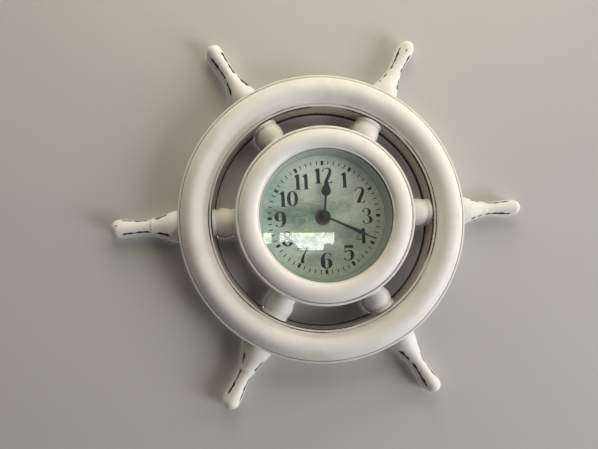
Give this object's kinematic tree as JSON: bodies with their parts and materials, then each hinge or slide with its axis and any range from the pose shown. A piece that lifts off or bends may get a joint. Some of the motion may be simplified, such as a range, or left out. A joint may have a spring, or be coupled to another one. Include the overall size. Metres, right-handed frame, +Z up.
{
  "type": "ship wheel wall clock",
  "caption": "Wall clock shaped as a ship's wheel, with turned handles and beads, a domed rim, and a deep-set round dial under flat glass in its hub.",
  "frame": {"origin": "top of the rim's inner rear edge, on the wall plane, where a wall hook carries the clock; the wheel's axis lies 103.6 mm below it", "axes": "+X to the viewer's right along the level handles, +Y into the wall, +Z up; the dial faces -Y"},
  "size_m": [0.4, 0.0418, 0.3492],
  "materials": {
    "distressed_paint": "satin off-white paint over a black-brown base, rubbed through in the grooves and along the handles' edges",
    "lens_glass": "clear flat glass, polished",
    "spacer_plastic": "pale grey-green matt plastic",
    "dial_print": "matt print: mottled sea-green and cream wash with dark green-black numerals and minute track",
    "black_plastic": "fine-textured black plastic",
    "white_plastic": "white moulded plastic",
    "black_hands": "matt black paint on stamped metal",
    "brown_rubber": "dark brown rubber",
    "brass": "turned brass",
    "blackened_nut": "blackened steel",
    "steel": "plain bright steel",
    "magnet": "dark magnet on a steel axle",
    "copper_wire": "enamelled copper winding",
    "board": "green circuit board",
    "battery_jacket": "plain dark green jacket"
  },
  "bodies": {
    "clock_body": {"wheel_rim": "distressed_paint", "hub_ring": "distressed_paint", "bezel_ring": "distressed_paint", "bezel_seat": "distressed_paint", "dial_sleeve": "distressed_paint", "handle_1": "distressed_paint", "handle_2": "distressed_paint", "handle_3": "distressed_paint", "handle_4": "distressed_paint", "handle_5": "distressed_paint", "handle_6": "distressed_paint", "spoke_bead_1": "distressed_paint", "spoke_bead_2": "distressed_paint", "spoke_bead_3": "distressed_paint", "spoke_bead_4": "distressed_paint", "spoke_bead_5": "distressed_paint", "spoke_bead_6": "distressed_paint", "glass_lens": "lens_glass", "spacer_ring": "spacer_plastic", "dial": "dial_print", "backing_plate": "black_plastic", "movement_case": "black_plastic", "movement_cover": "black_plastic", "threaded_bush": "brass", "dial_nut": "blackened_nut", "dial_washer": "brown_rubber", "stator": "steel", "coil": "copper_wire", "circuit_board": "board", "quartz_crystal": "steel", "battery": "battery_jacket", "battery_contact_positive": "steel", "battery_contact_negative": "steel", "backing_screw_1": "steel", "backing_screw_2": "steel", "backing_screw_3": "steel", "backing_screw_4": "steel"},
    "minute_train": {"minute_hand": "black_hands", "minute_hand_cap": "black_hands", "minute_arbor": "steel", "setting_knob": "white_plastic"},
    "hour_train": {"hour_hand": "black_hands", "hour_wheel": "white_plastic"},
    "intermediate_wheel": {"minute_wheel": "white_plastic"},
    "motor_rotor": {"rotor": "magnet"}
  },
  "joints": [
    {"name": "minute_hand_turn", "type": "hinge", "parent": "clock_body", "child": "minute_train", "pos_m": [0, -0.01, -0.1036], "axis": [0, 1, 0], "continuous": true},
    {"name": "hour_hand_turn", "type": "hinge", "parent": "clock_body", "child": "hour_train", "pos_m": [0, -0.01, -0.1036], "axis": [0, 1, 0], "continuous": true},
    {"name": "minute_wheel_turn", "type": "hinge", "parent": "clock_body", "child": "intermediate_wheel", "pos_m": [0.005, -0.01, -0.09494], "axis": [0, 1, 0], "continuous": true},
    {"name": "rotor_turn", "type": "hinge", "parent": "clock_body", "child": "motor_rotor", "pos_m": [-0.011, -0.01, -0.1016], "axis": [0, 1, 0], "continuous": true}
  ],
  "couplings": [
    {"joint": "hour_hand_turn", "follows": "minute_hand_turn", "ratio": 0.083333},
    {"joint": "minute_wheel_turn", "follows": "minute_hand_turn", "ratio": -0.33333}
  ]
}
